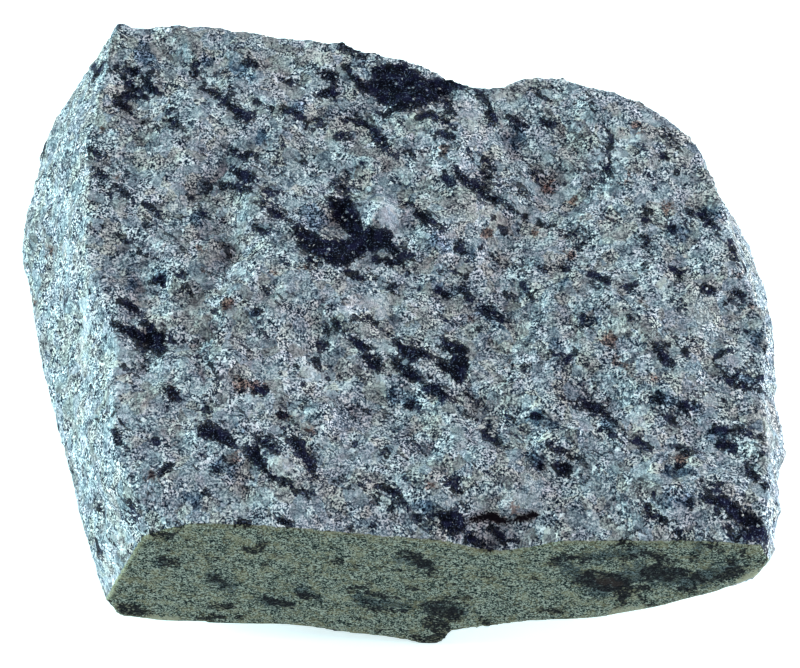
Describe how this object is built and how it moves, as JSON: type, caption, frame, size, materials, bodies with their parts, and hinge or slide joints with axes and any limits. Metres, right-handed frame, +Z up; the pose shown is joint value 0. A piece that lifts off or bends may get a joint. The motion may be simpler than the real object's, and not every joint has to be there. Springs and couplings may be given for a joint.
{
  "type": "anorthosite specimen",
  "caption": "Rough hand specimen of pale grey foliated anorthosite with dark mineral streaks and a flat sawn front face, resting on its underside.",
  "frame": {"origin": "middle of the bounding box in plan, on the plane the stone rests on", "axes": "+X to the right along the sawn face, +Y away from the sawn face, +Z up; the sawn face looks along -Y"},
  "size_m": [0.1224, 0.0962, 0.0406],
  "materials": {
    "anorthosite": "rough broken stone"
  },
  "bodies": {
    "root": {"anorthosite_block": "anorthosite"}
  },
  "joints": []
}
